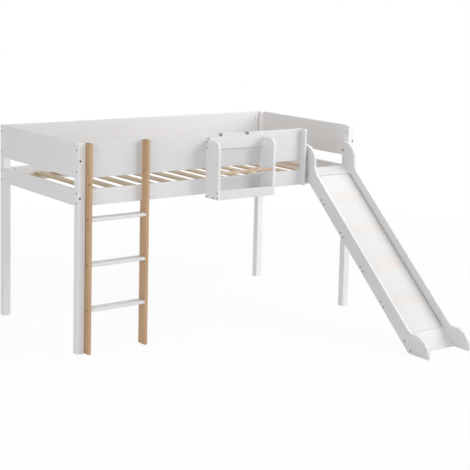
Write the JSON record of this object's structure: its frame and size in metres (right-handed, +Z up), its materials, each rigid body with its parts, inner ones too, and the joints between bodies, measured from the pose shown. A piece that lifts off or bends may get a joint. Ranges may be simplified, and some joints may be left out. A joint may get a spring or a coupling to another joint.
{
  "type": "loft bed with slide",
  "caption": "Half-height loft bed with boarded sides, an upright ladder at the left, a straight slide at the right front and a lift-off hanging shelf.",
  "frame": {"origin": "middle of the whole footprint, slide included, on the floor", "axes": "+X along the bed from the ladder to the slide, +Y from the slide's foot to the bed's back, +Z up"},
  "size_m": [2.06, 2.153, 1.2183],
  "materials": {
    "white_lacquered_board": "satin white lacquer on solid wood and board",
    "natural_pine": "clear matt lacquer on pine",
    "zinc_steel": "zinc plated",
    "dark_steel": "black oxide"
  },
  "bodies": {
    "bed_frame": {"post_front_left": "white_lacquered_board", "post_front_right": "white_lacquered_board", "post_back_left": "white_lacquered_board", "post_back_right": "white_lacquered_board", "end_panel_left": "white_lacquered_board", "end_rail_left": "white_lacquered_board", "end_panel_right": "white_lacquered_board", "end_rail_right": "white_lacquered_board", "back_panel": "white_lacquered_board", "back_rail": "white_lacquered_board", "front_panel": "white_lacquered_board", "front_rail": "white_lacquered_board", "guard_board": "white_lacquered_board", "slat_ledger_front": "natural_pine", "slat_ledger_back": "natural_pine", "slat_01": "natural_pine", "slat_02": "natural_pine", "slat_03": "natural_pine", "slat_04": "natural_pine", "slat_05": "natural_pine", "slat_06": "natural_pine", "slat_07": "natural_pine", "slat_08": "natural_pine", "slat_09": "natural_pine", "slat_10": "natural_pine", "slat_11": "natural_pine", "slat_12": "natural_pine", "slat_13": "natural_pine", "slat_14": "natural_pine", "slat_15": "natural_pine", "ladder_rail_left": "natural_pine", "ladder_rail_right": "natural_pine", "ladder_rung_1": "white_lacquered_board", "ladder_rung_2": "white_lacquered_board", "ladder_rung_3": "white_lacquered_board", "slide_cheek_left": "white_lacquered_board", "slide_cheek_right": "white_lacquered_board", "slide_top_board": "white_lacquered_board", "slide_deck": "white_lacquered_board", "slide_toe_board": "white_lacquered_board", "slide_batten_1": "natural_pine", "slide_batten_2": "natural_pine", "slide_batten_3": "natural_pine", "slide_batten_4": "natural_pine", "frame_bolts": "dark_steel", "barrel_nuts": "zinc_steel", "slat_screws": "zinc_steel", "ladder_screws": "dark_steel", "mount_screws": "zinc_steel", "slide_screws": "dark_steel"},
    "hanging_shelf": {"shelf_cheek_left": "white_lacquered_board", "shelf_cheek_right": "white_lacquered_board", "shelf_front_lip": "white_lacquered_board", "shelf_floor": "white_lacquered_board", "shelf_back_batten": "white_lacquered_board", "shelf_dowel": "natural_pine", "shelf_hooks": "dark_steel", "shelf_screws": "dark_steel"}
  },
  "joints": [
    {"name": "shelf_lift", "type": "slide", "parent": "bed_frame", "child": "hanging_shelf", "axis": [0, 0, 1], "range_m": [0, 0.06]}
  ]
}
